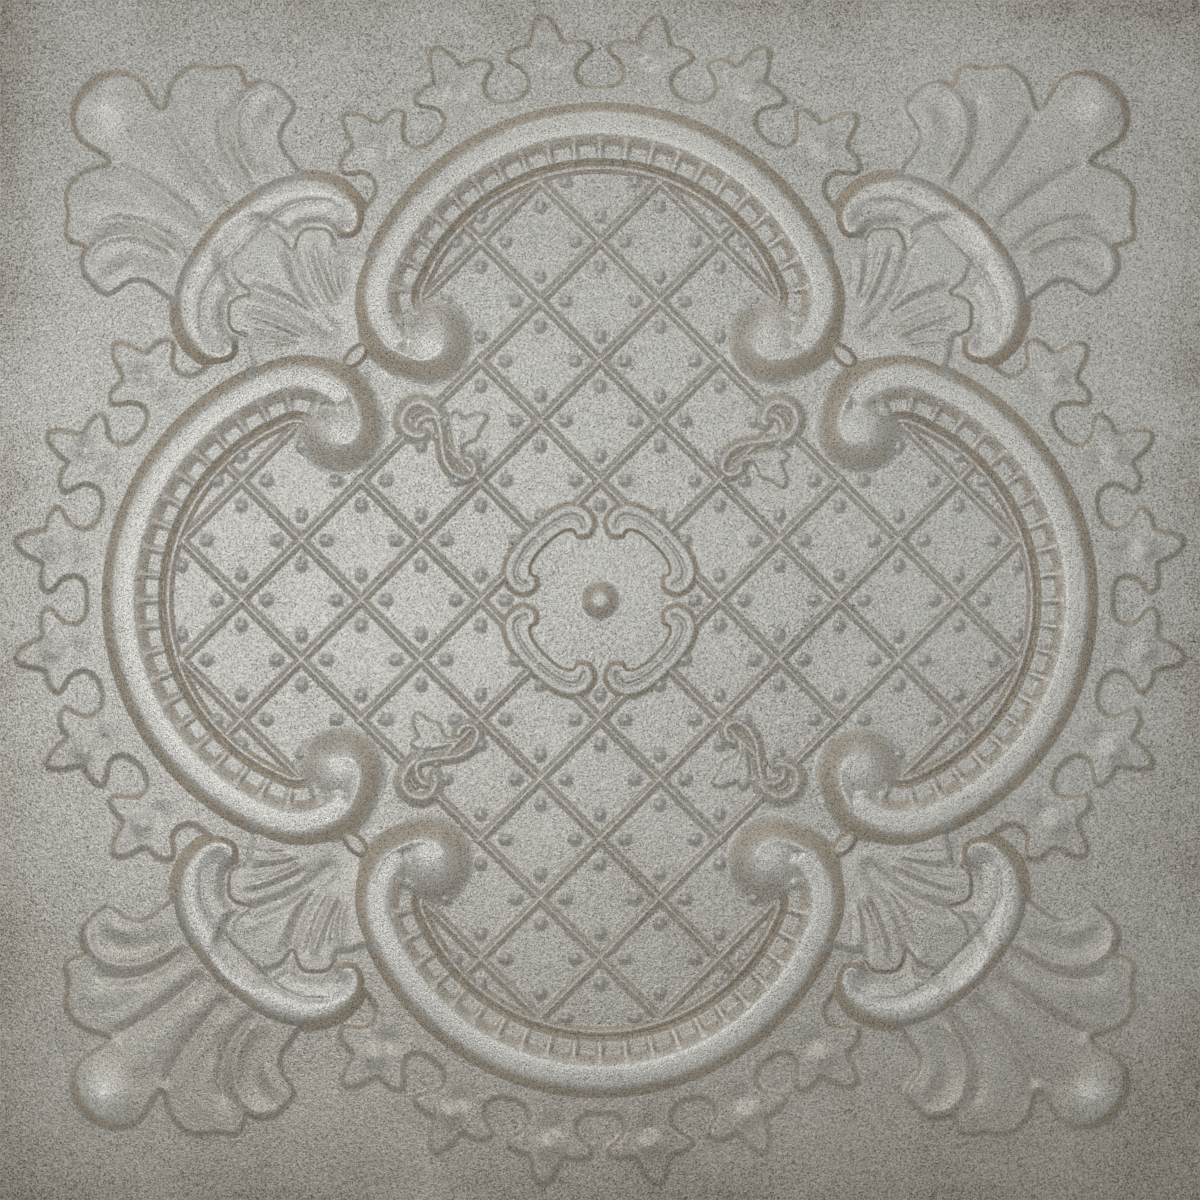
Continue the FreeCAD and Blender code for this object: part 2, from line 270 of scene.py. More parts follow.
# The leaf crests: six three-pointed leaves outside each lobe, joined by round bays.
# One low plate with a sharp outline, each leaf dished at its root and domed beyond.
CREST_RISE = 4.4
CREST_FLANK = 7.0
CREST_LINE = [
    (-6, 513), (0, 513), (12, 513.5), (20, 517.5), (24, 525), (22.5, 534), (17, 541), (10, 547),
    (8, 551.5), (11, 556), (18, 558.5), (27, 558), (35, 557), (39, 561), (43, 570), (48, 578),
    (54, 583), (59, 584), (64, 580), (67, 571), (69, 561), (72, 554), (80, 552.5), (87, 549),
    (92, 543.5), (92, 540), (87, 536), (79, 531.5), (73, 524), (71, 516), (74, 508), (81, 501.5),
    (92, 497.5), (102, 497.5), (110, 501), (115, 508), (115.5, 517), (111.5, 526), (108, 532),
    (109, 536), (114, 539), (122, 540), (130, 536.5), (137, 532.5), (142, 537), (148, 544),
    (156, 550), (163, 552.5), (168, 550), (169.5, 542), (168.5, 531), (166, 521), (167.5, 516),
    (174, 512.5), (181, 507), (185.5, 500), (183.5, 496), (177, 493.5), (166, 491.5), (159, 487.5),
    (155.5, 480), (157, 471), (163, 463), (172, 456), (183, 452.5), (191, 455), (196, 462),
    (197, 471), (196, 480), (196, 486), (199, 489), (205, 489.5), (211, 486), (217, 480),
    (222, 477), (230, 480), (240, 485), (248, 487), (255, 485.5), (257, 478), (253, 467),
    (248.5, 459), (248, 452.5), (254, 446), (259, 438), (259, 430), (255.5, 426.5), (247, 426.5),
    (237, 427.5), (229, 423), (224.5, 415), (224.5, 407), (229, 399), (236, 390), (243, 380),
]
CREST_DISHES = [
    (48, 527, -2.1, 9), (50.5, 546, 3.0, 9.5), (139, 498, -2.1, 9), (149.5, 515, 3.0, 9.5),
    (212, 441, -2.1, 9), (224, 457, 3.0, 9.5),
]
CREST_SHUT = [(263, 366), (263, 330), (200, 330), (120, 440), (60, 470), (-6, 484)]


def within(outline, box):
    """Which grid points of the box lie inside a closed outline."""
    inside = np.zeros(x[box].shape, bool)
    grid_x, grid_y = x[box], y[box]
    for (x0, y0), (x1, y1) in zip(outline, np.roll(outline, -1, axis=0)):
        if y0 == y1:
            continue
        low, high = np.searchsorted(grid_y[0], (min(y0, y1), max(y0, y1)))
        crossing = (x1 - x0) * (grid_y[:, low:high] - y0) / (y1 - y0) + x0
        inside[:, low:high] ^= grid_x[:, low:high] < crossing
    return inside


def inside_gap(points, shut, reach):
    """Signed distance from an outline, positive inside; shut closes it under other forms."""
    line = bend(points)
    closed = np.vstack([line, shut])
    box = window(closed, reach)
    _, gap, _, _ = beside(line, reach, box)
    return box, np.where(within(closed, box), gap, -gap)


box, gap = inside_gap(CREST_LINE, CREST_SHUT, 12)
height = CREST_RISE * ramp(-CREST_FLANK / 2, CREST_FLANK / 2, gap)
for cx, cy, rise, width in CREST_DISHES:
    from_dish = (x[box] - cx) ** 2 + (y[box] - cy) ** 2
    height = height + rise * np.exp(-from_dish / width**2) * ramp(2, 9, gap)
lift(box, height)

# The rosette: four curled scrolls round a plain disc, with a domed boss in the middle.
# Each scroll has a flank all round, a groove that follows it and a hooked end.
ROSE_RISE = 5.0
ROSE_FLANK = 3.4
ROSE_EDGE = 1.8
ROSE_OUTER = [
    (23.5, 63.5), (19, 63), (13.5, 63), (9.5, 65.5), (6.5, 71), (5, 78), (8, 85), (12.5, 90.5),
    (19, 94.5), (27, 96.5), (36, 95), (46, 91), (55, 85), (64, 77.5), (70.5, 71), (77, 64),
]
ROSE_INNER = [
    (23.5, 63.5), (25, 68), (28, 70), (34, 69.7), (40, 67), (46, 63), (51, 58.5), (55, 55),
    (59, 51),
]
ROSE_GROOVE = [
    (16.5, 70), (17, 77), (20.5, 82), (26, 84.3), (33, 83.3), (41, 79.5), (50, 74), (58, 67.5),
    (63, 63),
]
ROSE_FINE_GROOVE = [(24, 77), (30, 78.8), (37, 77), (46, 71), (54, 64), (59, 59)]
FLUTES = 48
FLUTE_RISE = 0.35
BOSS_R = 18.5
BOSS_RISE = 9.0


def crease(points, rise, width, fade=10.0):
    """A soft line pressed up or down over whatever lies there."""
    box, gap, length, total = beside(bend(points, 2.5), 2.6 * width)
    shape = rise * np.exp(-((gap / width) ** 2)) * ramp(0, fade, length) * ramp(0, fade, total - length)
    relief[box] += shape * upper[box]


outer, inner = bend(ROSE_OUTER), bend(ROSE_INNER)
box = window(np.vstack([outer, inner]), 8)
_, outer_gap, _, _ = beside(outer, 12, box)
_, inner_gap, _, _ = beside(inner, 12, box)
rose = within(np.vstack([outer, inner[::-1]]), box)
sign = np.where(rose, 1, -1)
flank_rise = ramp(-ROSE_FLANK, ROSE_FLANK, sign * outer_gap)
edge_rise = ramp(-ROSE_EDGE, ROSE_EDGE, sign * inner_gap)
nearer = np.where(outer_gap < inner_gap, flank_rise, edge_rise)
height = ROSE_RISE * np.where(rose, np.minimum(flank_rise, edge_rise), nearer)
lift(box, height * upper[box])
crease(ROSE_GROOVE, -1.7, 2.3, fade=4)
crease(ROSE_FINE_GROOVE, -0.5, 1.4, fade=4)
spoke = np.arctan2(x, y) * (FLUTES / 2) / np.pi
fluted = ramp(46, 58, middle) * (1 - ramp(60, 70, middle))
relief += FLUTE_RISE * fluted * np.cos(2 * np.pi * spoke) * (relief < 0.5)
boss = middle < BOSS_R + 4
dome = die([(-1, BOSS_RISE), (0, BOSS_RISE), (7.5, BOSS_RISE - 0.5), (BOSS_R, 0), (BOSS_R + 2, 0)], 3)
lift(boss, np.interp(middle[boss], *dome))

# The corner scroll and fan: a broad moulded scroll with a round hooked end at each side and
# a fine groove inside its crown. Its inner slope runs down to a fan of three petals, whose
# scalloped edge stands over a narrow hollow by each hook and melts away at the diagonal.
SCROLL_RISE = 13.4
SCROLL_OUTER = [
    (255, 358.8), (245, 360.8), (238, 367), (233.5, 378), (232.8, 390), (236, 400.5), (243, 410.5),
    (252, 418.5), (263, 425), (280, 430), (300, 430.5), (320, 427), (340, 418.3), (360, 405.3),
    (374, 394.5), (385.3, 385.3), (396, 374),
]
FAN_START = [(228, 349.5), (236, 352.5), (243, 354.6), (252, 356.8)]
FAN_SCALLOPS = [
    (259.5, 357.2), (264, 361), (268.5, 369), (275, 372.4), (285, 373), (296, 372), (302.5, 365.4),
    (305.5, 357.8), (307.6, 351.8), (313.5, 359), (321, 365.5), (330, 368.5), (342, 370),
    (352, 366), (362, 358),
]
FAN_SHUT = [(372, 350), (300, 290), (240, 230), (205, 260), (222, 330)]
FAN_RISE = 8.2
FAN_EDGE = 4.4
FAN_ROOT = 243.0
HOLLOW_RISE = 4.4
SCROLL_CREST = 20.0
SCROLL_WIDE = 70.0
SCROLL_RUBBED = 0.5
START_RUBBED = 0.4
# each crease: its rise, its width, how far its ends fade, and its line
FAN_CREASES = [
    (-1.3, 2.5, 14, [(262, 394), (268, 397.5), (280, 398.5), (297, 397.4), (315, 390.4), (332.6, 378),
                     (350, 362.3), (362, 349)]),
    (-3.0, 7.0, 16, [(314, 360), (309, 346), (304, 330), (298, 314), (288, 296), (272, 276), (258, 260)]),
    (-1.3, 2.8, 14, [(294, 358), (290, 340), (284, 322), (277, 306), (268, 290)]),
    (1.7, 3.0, 16, [(287, 362), (283, 342), (276, 322), (268, 304), (260, 288)]),
    (-1.4, 2.8, 14, [(268, 355), (268, 340), (265, 320), (258, 298)]),
    (1.5, 2.8, 16, [(257, 352), (259, 340), (259, 322), (254, 298)]),
    (0.8, 4.0, 20, [(330, 362), (320, 336), (306, 310), (288, 284)]),
    (-0.5, 1.1, 14, [(279, 358), (275, 340), (270, 322), (262, 300)]),
    (-0.5, 1.1, 12, [(249, 350), (251, 338), (252, 324), (250, 308)]),
]


def narrowed(length):
    """The scroll's width: half of the full one at its hooked end, growing along it."""
    return 0.5 + 0.5 * ramp(14, 80, length)


from_tie = np.hypot(x - FAN_ROOT, y - FAN_ROOT)
fan = FAN_RISE * (0.4 + 0.6 * ramp(30, 130, from_tie)) * ramp(6, 45, from_tie)
by_hook = ramp(14, 42, side)
hollow = fan * (1 - by_hook) + HOLLOW_RISE * by_hook

outer, scallops = bend(SCROLL_OUTER), bend(FAN_SCALLOPS)
box = window(np.vstack([outer, scallops]), 16)
_, outer_gap, length, _ = beside(outer, SCROLL_WIDE, box)
_, fan_gap, _, _ = beside(scallops, SCROLL_WIDE, box)
outer_in = outer_gap / narrowed(length)
scroll_flank = [(0, 0), (11.8, 11.3), (15, 13.1), (SCROLL_CREST, SCROLL_RISE)]
scroll = die(scroll_flank + [(26, 13.2), (33, 11.0), (40, 9.6), (60, 8.0)], 1.8)
# the hook's front and the rest fall inwards each for itself, so no step is left between them
front = len(bend(SCROLL_OUTER[:5]))
inner_fall = np.zeros(x[box].shape)
for part, begun in ((outer[:front], 0), (outer[front:], 28)):
    _, part_gap, part_length, _ = beside(part, SCROLL_WIDE, box)
    part_in = np.maximum(part_gap / narrowed(part_length + begun), SCROLL_CREST)
    inner_fall = np.maximum(inner_fall, np.interp(part_in, *scroll))
blur = np.hanning(19) / np.hanning(19).sum()
for axis in (0, 1):
    inner_fall = np.apply_along_axis(np.convolve, axis, inner_fall, blur, mode="same")
crown = np.minimum(inner_fall, np.interp(np.minimum(outer_in, SCROLL_CREST), *scroll))
slope_wide = 13 + 13 * (1 - ramp(16, 50, side[box]))
body = hollow[box] + np.maximum(crown - hollow[box], 0) * ramp(0, 1, fan_gap / slope_wide)
scroll_inside = within(np.vstack([outer, [(380, 350)], scallops[::-1]]), box)
corner = np.zeros_like(x)
corner[box] = np.where(scroll_inside, np.minimum(body, crown), 0)
rubbed[box] = np.where(scroll_inside & (outer_in > SCROLL_CREST), SCROLL_RUBBED, rubbed[box])

box, fan_gap = inside_gap(FAN_START + FAN_SCALLOPS, FAN_SHUT, 16)
_, start_gap, _, _ = beside(bend(FAN_START + FAN_SCALLOPS[:1]), 12, box)
edged = hollow[box] + (fan[box] - hollow[box]) * ramp(0, FAN_EDGE, fan_gap)
start_rise = 0.45 * ramp(0, FAN_EDGE, start_gap) + 0.55 * ramp(0, 12, start_gap)
edged = np.minimum(edged, fan[box] * start_rise)
corner[box] = np.maximum(corner[box], np.where(fan_gap > 0, edged, 0))
rubbed[box] = np.where((fan_gap > -6) & (start_gap < 9), START_RUBBED, rubbed[box])
relief = np.maximum(relief, corner * upper)
for rise, width, fade, line in FAN_CREASES:
    crease(line, rise, width, fade)

# The tie: a small oval bead where two lobes meet, across the diagonal.
TIE = 244.0
TIE_RISE = 6.0
TIE_HALF_WIDE = 9.5
TIE_HALF_LONG = 20.0

across = (x + y) / np.sqrt(2) - TIE * np.sqrt(2)
oval = np.sqrt((across / TIE_HALF_WIDE) ** 2 + (side / TIE_HALF_LONG) ** 2)
lift(oval < 1.2, TIE_RISE * (1 - ramp(0.5, 1.05, oval[oval < 1.2])))

# The corner shell: five lobes spread from the corner scroll. The middle one ends in a
# high round bulb; the outer ones are low leaves whose tips are dished behind a roll.
BULB = 498.0
SHELL_RISE = 4.6
BULB_RISE = 7.8
BULB_WIDE = 27.0
SHELL_LINE = [
    (520, 506), (513, 513), (504, 520), (494, 525), (482, 527), (470, 525), (460, 519), (453, 510),
    (447, 499), (441, 491.5), (437, 490.5), (434, 496), (432, 504), (429, 513), (424, 521.5),
    (416, 529), (406, 533.5), (395, 533), (385, 531.5), (375, 533), (366, 534), (359.5, 530),
    (356.5, 522), (353, 514), (346, 516.5), (337, 518.5), (327, 516), (317, 508.5), (308, 498),
    (306, 491), (311, 482), (318, 471.5), (320, 460), (316, 449), (309, 440), (302, 430),
    (297, 420),
]
SHELL_SHUT = [(290, 410), (330, 330), (535, 490)]
SHELL_RUBBED = 0.5
LEAF_REACH = 344.0
# each crease: its rise, its width, how far its ends fade, and its line
SHELL_CREASES = [
    (2.3, 4.8, 22, [(342, 416), (354, 436), (363, 456), (365, 476), (360, 496), (347, 509), (332, 511),
                    (320, 505)]),
    (-1.5, 9.0, 20, [(332, 424), (342, 444), (348, 464), (347, 481), (337, 492), (326, 490)]),
    (-2.6, 5.2, 16, [(373, 508), (378, 488), (378, 466), (370, 443), (356, 423), (346, 410)]),
    (-2.8, 6.0, 12, [(436, 489), (424, 464), (411, 443), (396, 423), (381, 405), (372, 395)]),
    (1.1, 7.5, 22, [(424, 503), (421, 480), (406, 458), (386, 432), (366, 409)]),
    (1.9, 13, 26, [(480, 480), (450, 450), (420, 420), (392, 392)]),
    (0.9, 9, 20, [(392, 524), (398, 500), (392, 476), (378, 452)]),
    (0.9, 5.5, 14, [(318, 500), (330, 478), (338, 462)]),
]

box, gap = inside_gap(SHELL_LINE, SHELL_SHUT, 30)
bulb = np.exp(-((x[box] - BULB) ** 2 + (y[box] - BULB) ** 2) / BULB_WIDE**2)
flank = 3.5 + 6.0 * bulb
height = (SHELL_RISE + BULB_RISE * bulb) * ramp(-1, 1, np.clip(gap / flank, -1, 1))
lift(box, height * upper[box])
rubbed[box] = np.where((gap > -5) & (x[box] < LEAF_REACH), SHELL_RUBBED, rubbed[box])
for rise, width, fade, line in SHELL_CREASES:
    crease(line, rise, width, fade)

relief = np.maximum(relief, 0)
# so far only the half nearer the y axis is pressed; the other is its mirror image
relief = np.where(x <= y, relief, relief.T)
rubbed = np.where(x <= y, rubbed, rubbed.T)

# The small scroll with a leaf: one in each quarter, all turning the same way. Its
# coil covers a crossing of the trellis; the stem swings to the next and curls back.
COIL_X = 182.5
COIL_Y = 182.0
COIL_DISC = 15.0
COIL_CLEARED = 25.0
LEAF_RISE = 2.7
COIL_LINE = [
    (-160, -183), (-165, -190), (-173, -195), (-182, -197.3), (-190.5, -194), (-196.5, -186.5),
    (-198, -178), (-194.5, -170), (-187.5, -165.3), (-180, -164), (-176.5, -166),
]
INNER_COIL_LINE = [(-188.5, -180), (-185.5, -185.5), (-180, -188.5), (-174.5, -189.3)]
STEM_LINE = [
    (-184, -172), (-183, -177), (-178.5, -181.5), (-171, -183.5), (-164, -182), (-160.3, -174),
    (-158.7, -163), (-157.3, -150), (-155, -140), (-150, -131), (-143.5, -125), (-136, -122.3),
    (-129.5, -123.5), (-125.6, -128.5), (-126, -135), (-129.5, -140), (-134, -141.5),
]
LEAF_LINE = [
    (-146, -150), (-148.5, -160), (-149.8, -170), (-150, -179), (-148, -185.5), (-143.5, -188.7),
    (-139.5, -186), (-137, -181.5), (-131, -184), (-123, -186.7), (-115.5, -186), (-112.3, -182),
    (-116, -176), (-120.5, -169.5), (-122, -162.5), (-126, -159.5), (-133.5, -156.5),
    (-138.5, -152),
]
LEAF_SHUT = [(-139, -143), (-146, -142)]
VEIN_LINE = [(-136, -136), (-139.5, -143), (-141, -151), (-138, -163), (-131, -173)]


def ridge(points, rise, crest, foot, soften=1.0, fade=0.0, spacing=1.5):
    """A line that stands on its own."""
    lift(*along_line(points, rise, crest, foot, soften, fade, spacing))


def turned(points):
    """Drawn in the upper left quarter with y down; given a quarter turn into this one."""
    return [(-down, -across) for across, down in points]


coil_gap = np.hypot(x - COIL_X, y - COIL_Y)
near_coil = coil_gap < COIL_CLEARED + 5
relief[near_coil] *= ramp(COIL_CLEARED - 4, COIL_CLEARED, coil_gap[near_coil])
disc = die([(-1, 1.6), (0, 1.6), (COIL_DISC, 1.6), (COIL_CLEARED, 0), (COIL_CLEARED + 1, 0)], 1.5)
lift(near_coil, np.interp(coil_gap[near_coil], *disc))
ridge(turned(COIL_LINE), 5.0, 1.7, 9.5, soften=1.6, spacing=1.0)
ridge(turned(STEM_LINE), 4.8, 1.5, 7.4, soften=1.4, spacing=1.0)
ridge(turned(INNER_COIL_LINE), 4.4, 0.8, 4.4, fade=3, spacing=1.0)
box, gap = inside_gap(turned(LEAF_LINE), turned(LEAF_SHUT), 8)
lift(box, LEAF_RISE * ramp(-2.6, 2.6, gap))
ridge(turned(VEIN_LINE), 3.2, 1.0, 5.0, soften=1.5, fade=8)

# The pressed sheet: the blank takes the dies' form on both faces. The surface is cut
# into triangles only as finely as the relief needs, so flat parts have few of them.
FLAT_ENOUGH = 0.2
LEAN_ENOUGH = 0.17


def four_turns(quarter):
    """The whole tile: one quarter, given four quarter turns."""
    tile = np.zeros((2 * CELLS + 1, 2 * CELLS + 1))
    for turn in range(4):
        np.rot90(tile, -turn)[CELLS:, CELLS:] = quarter
    return tile


relief, rubbed = four_turns(relief), four_turns(rubbed)
slope_x, slope_y = np.gradient(relief, STEP)
steep = np.hypot(slope_x, slope_y)


def strays(surface, tolerance, half):
    """Where a surface leaves the coarser triangles at one size: on both edges and in the middle."""
    full = 2 * half
    corner = surface[::full, ::full]
    across_x = np.abs(surface[half::full, ::full] - 0.5 * (corner[:-1] + corner[1:])) > tolerance
    across_y = np.abs(surface[::full, half::full] - 0.5 * (corner[:, :-1] + corner[:, 1:])) > tolerance
    count = np.arange(corner.shape[0] - 1)
    even = (count[:, None] + count) % 2 == 0
    slant = np.where(even, corner[:-1, :-1] + corner[1:, 1:], corner[1:, :-1] + corner[:-1, 1:]) / 2
    return across_x, across_y, np.abs(surface[half::full, half::full] - slant) > tolerance, even


def points_needed(surfaces):
    """Grid points at which any surface strays, with those that their triangles rest on."""
    size = surfaces[0][0].shape[0] - 1
    needed = np.zeros(surfaces[0][0].shape, bool)
    half = 1
    while half < size:
        full = 2 * half
        across_x, across_y = needed[half::full, ::full], needed[::full, half::full]
        centre = needed[half::full, half::full]
        for surface, tolerance in surfaces:
            far_x, far_y, far_centre, even = strays(surface, tolerance, half)
            across_x |= far_x
            across_y |= far_y
            centre |= far_centre
        centre |= across_x[:, :-1] | across_x[:, 1:] | across_y[:-1] | across_y[1:]
        if full < size:
            shared = needed[::full, ::full]
            shared[1:, :-1] |= centre & even
            shared[:-1, 1:] |= centre & even
            shared[:-1, :-1] |= centre & ~even
            shared[1:, 1:] |= centre & ~even
        half = full
    return needed


def split_triangles(needed):
    """Halve right-angled triangles until no needed point is left on a long side."""
    size = needed.shape[0] - 1
    flags = needed.ravel()
    start = np.array([[0, 0], [size, size]])
    end = np.array([[size, size], [0, 0]])
    peak = np.array([[size, 0], [0, size]])
    done = []
    while len(start):
        mid = (start + end) // 2
        whole_step = ((start + end) % 2 == 0).all(1)
        cut = whole_step & flags[mid[:, 0] * (size + 1) + mid[:, 1]]
        done.append(np.stack([start[~cut], peak[~cut], end[~cut]], 1))
        start, end, peak, mid = start[cut], end[cut], peak[cut], mid[cut]
        start, end = np.concatenate([peak, end]), np.concatenate([start, peak])
        peak = np.concatenate([mid, mid])
    return np.concatenate(done)


followed = [(relief, FLAT_ENOUGH), (slope_x, LEAN_ENOUGH), (slope_y, LEAN_ENOUGH)]
triangles = split_triangles(points_needed(followed))


def press_tree():
    """Lift the blank by its rise, then give it the sheet's thickness and close its rim."""
    tree = bpy.data.node_groups.new("press the sheet", "GeometryNodeTree")
    face = tree.interface
    face.new_socket("Geometry", in_out="INPUT", socket_type="NodeSocketGeometry")
    face.new_socket("Depth", in_out="INPUT", socket_type="NodeSocketFloat")
    face.new_socket("Thickness", in_out="INPUT", socket_type="NodeSocketFloat")
    face.new_socket("Finish", in_out="INPUT", socket_type="NodeSocketMaterial")
    face.new_socket("Geometry", in_out="OUTPUT", socket_type="NodeSocketGeometry")

    def add(kind, settings=None, **sockets):
        node = tree.nodes.new(kind)
        for name, value in (settings or {}).items():
            setattr(node, name, value)
        for name, value in sockets.items():
            socket = node.inputs[name.replace("_", " ")]
            if isinstance(value, bpy.types.NodeSocket):
                tree.links.new(value, socket)
            else:
                socket.default_value = value
        return node

    given = add("NodeGroupInput").outputs
    rise = add("GeometryNodeInputNamedAttribute", {"data_type": "FLOAT"}, Name="rise").outputs["Attribute"]
    scaled = add("ShaderNodeMath", {"operation": "MULTIPLY"})
    tree.links.new(rise, scaled.inputs[0])
    tree.links.new(given["Depth"], scaled.inputs[1])
    up = add("ShaderNodeCombineXYZ", Z=scaled.outputs[0]).outputs[0]
    face_up = add("GeometryNodeSetPosition", Geometry=given["Geometry"], Offset=up).outputs[0]
    face_down = add("GeometryNodeFlipFaces", Mesh=face_up).outputs[0]
    backed = add("GeometryNodeExtrudeMesh", {"mode": "FACES"}, Mesh=face_down, Individual=False)
    tree.links.new(given["Thickness"], backed.inputs["Offset Scale"])
    both = add("GeometryNodeJoinGeometry")
    tree.links.new(face_up, both.inputs[0])
    tree.links.new(backed.outputs["Mesh"], both.inputs[0])
    closed = add("GeometryNodeMergeByDistance", Geometry=both.outputs[0], Distance=1e-6).outputs[0]
    smooth = add("GeometryNodeSetShadeSmooth", Geometry=closed, Shade_Smooth=True).outputs[0]
    real = add("GeometryNodeRealizeInstances", Geometry=smooth).outputs[0]
    finish = add("GeometryNodeSetMaterial", Geometry=real, Material=given["Finish"]).outputs[0]
    add("NodeGroupOutput", Geometry=finish)
    return tree


# The finish: silver paint over a brown ground, which shows in the steep flanks. Use has
# rubbed the high crowns bright, and the same lightening of the highest forms is a painted
# highlight on the corner bulbs. The colour is darker towards the bottom edge. It is grainy all
# over, with fine dark specks that gather towards the tile's edges, where it is also darker in
# cloudy patches.
SILVER = (0.40, 0.397, 0.375, 1)
# rubbed silver on the high crowns, and also a painted highlight on the corner bulbs
RUBBED_AND_HIGHLIGHT = (0.475, 0.472, 0.447, 1)
BROWN = (0.395, 0.347, 0.275, 1)
# the darker colour towards the bottom edge
BOTTOM_DARKER = (0.33, 0.303, 0.255, 1)
# the darker colour along the tile's edges
EDGE_DARKER = (0.25, 0.22, 0.17, 1)
SPECK = (0.06, 0.054, 0.045, 1)
GRAIN_SCALE = 1350.0
PEEL_SCALE = 480.0
SPECK_SCALE = 1500.0
CLOUD_SCALE = 14.0
HIGHLIGHT_FROM = 7.0
HIGHLIGHT_TO = 12.5
SILVER_ROUGH = 0.32
SILVER_METAL = 0.5


class Sum:
    """A shader socket that can be used in plain sums."""

    def __init__(self, tree, socket):
        self.tree, self.socket = tree, socket

    def _math(self, operation, left, right):
        node = self.tree.nodes.new("ShaderNodeMath")
        node.operation = operation
        for place, value in enumerate((left, right)):
            if isinstance(value, Sum):
                self.tree.links.new(value.socket, node.inputs[place])
            else:
                node.inputs[place].default_value = value
        return Sum(self.tree, node.outputs[0])

    def __add__(self, other):
        return self._math("ADD", self, other)

    def __radd__(self, other):
        return self._math("ADD", other, self)

    def __sub__(self, other):
        return self._math("SUBTRACT", self, other)

    def __rsub__(self, other):
        return self._math("SUBTRACT", other, self)

    def __mul__(self, other):
        return self._math("MULTIPLY", self, other)

    def __rmul__(self, other):
        return self._math("MULTIPLY", other, self)

    def __pow__(self, other):
        return self._math("POWER", self, other)

    def clear(self, low, high):
        """0 at low and 1 at high, held between them."""
        node = self.tree.nodes.new("ShaderNodeMapRange")
        self.tree.links.new(self.socket, node.inputs["Value"])
        node.inputs["From Min"].default_value = low
        node.inputs["From Max"].default_value = high
        return Sum(self.tree, node.outputs["Result"])


class Finish:
    """A material whose nodes come from one method."""

    def __init__(self, name):
        self.material = bpy.data.materials.new(name)
        self.material.use_nodes = True
        self.tree = self.material.node_tree
        self.shader = self.tree.nodes["Principled BSDF"]

    def node(self, kind, settings=None, **sockets):
        node = self.tree.nodes.new(kind)
        for name, value in (settings or {}).items():
            setattr(node, name, value)
        for name, value in sockets.items():
            self.feed(node.inputs[name.replace("_", " ")], value)
        return node

    def feed(self, socket, value):
        if isinstance(value, Sum):
            self.tree.links.new(value.socket, socket)
        elif isinstance(value, bpy.types.NodeSocket):
            self.tree.links.new(value, socket)
        else:
            socket.default_value = value

    def sum(self, socket):
        return Sum(self.tree, socket)

    def mix(self, share, first, second):
        node = self.node("ShaderNodeMix", {"data_type": "RGBA"}, Factor=share)
        self.feed(node.inputs[6], first)
        self.feed(node.inputs[7], second)
        return node.outputs[2]


aged = Finish("aged silver")
place = aged.node("ShaderNodeTexCoord").outputs["Object"]


def noise(scale, detail):
    """A fine random pattern in the sheet's own coordinates."""
    pattern = aged.node("ShaderNodeTexNoise", Vector=place, Scale=scale, Detail=detail, Roughness=0.6)
    return aged.sum(pattern.outputs["Fac"])


def stored(name):
    """What the mesh holds for each of its points."""
    return aged.sum(aged.node("ShaderNodeAttribute", {"attribute_name": name}).outputs["Fac"])


flank = stored("flank")
rise = stored("rise")
grain = noise(GRAIN_SCALE, 2.0)
peel = noise(PEEL_SCALE, 2.0)
speck = noise(SPECK_SCALE, 1.0)
cloud = noise(CLOUD_SCALE, 4.0)
apart = aged.node("ShaderNodeSeparateXYZ", Vector=place)
from_x = aged.sum(apart.outputs["X"]) * (2 / TILE_SIDE)
from_y = aged.sum(apart.outputs["Y"]) * (2 / TILE_SIDE)
edge = (from_x * from_x) ** 7 + (from_y * from_y) ** 7
worn = (flank + (grain - 0.5) * 1.6 * flank.clear(0.1, 0.5)).clear(0.35, 0.95)
specks = (speck + (cloud - 0.5) * 0.2 + edge * 0.05 + worn * 0.06).clear(0.61, 0.67)
# darker towards the bottom edge, in cloudy patches
colour = aged.mix(((0.0 - from_y) * 0.8 + cloud * 0.5).clear(0.3, 1.3), SILVER, BOTTOM_DARKER)
# the highest forms are lighter: rubbed bright on the crowns, and a painted highlight on the corner bulbs
colour = aged.mix(rise.clear(HIGHLIGHT_FROM, HIGHLIGHT_TO), colour, RUBBED_AND_HIGHLIGHT)
colour = aged.mix(worn, colour, BROWN)
# darker in cloudy patches along the tile's edges, most at the corners
colour = aged.mix((edge * 0.7 * cloud.clear(0.3, 0.7)).clear(0.0, 1.0), colour, EDGE_DARKER)
colour = aged.mix(specks * 0.85, colour, SPECK)
shade = 0.32 + 1.4 * grain.clear(0.22, 0.78)
grained = aged.node("ShaderNodeVectorMath", {"operation": "SCALE"}, Vector=colour, Scale=shade)
aged.feed(aged.shader.inputs["Base Color"], grained.outputs["Vector"])
aged.feed(aged.shader.inputs["Metallic"], SILVER_METAL - 0.35 * worn)
aged.feed(aged.shader.inputs["Roughness"], SILVER_ROUGH + 0.25 * worn + (grain - 0.5) * 0.3)
bump = aged.node("ShaderNodeBump", Height=grain * 0.5 + peel * 0.5, Strength=0.7, Distance=0.0006)
aged.feed(aged.shader.inputs["Normal"], bump.outputs["Normal"])

# The tile itself: one piece of metal, made as eight like wedges that meet edge to edge.
# Each is its part of the blank, pressed, painted and set in the frame.
WEDGES = 8

tree = press_tree()
inputs = {item.name: item.identifier for item in tree.interface.items_tree if item.in_out == "INPUT"}
middle_of = triangles.mean(1) - CELLS
turn_of = np.arctan2(middle_of[:, 1], middle_of[:, 0]) / (2 * np.pi / WEDGES)
wedge_of = np.floor(turn_of).astype(int) % WEDGES


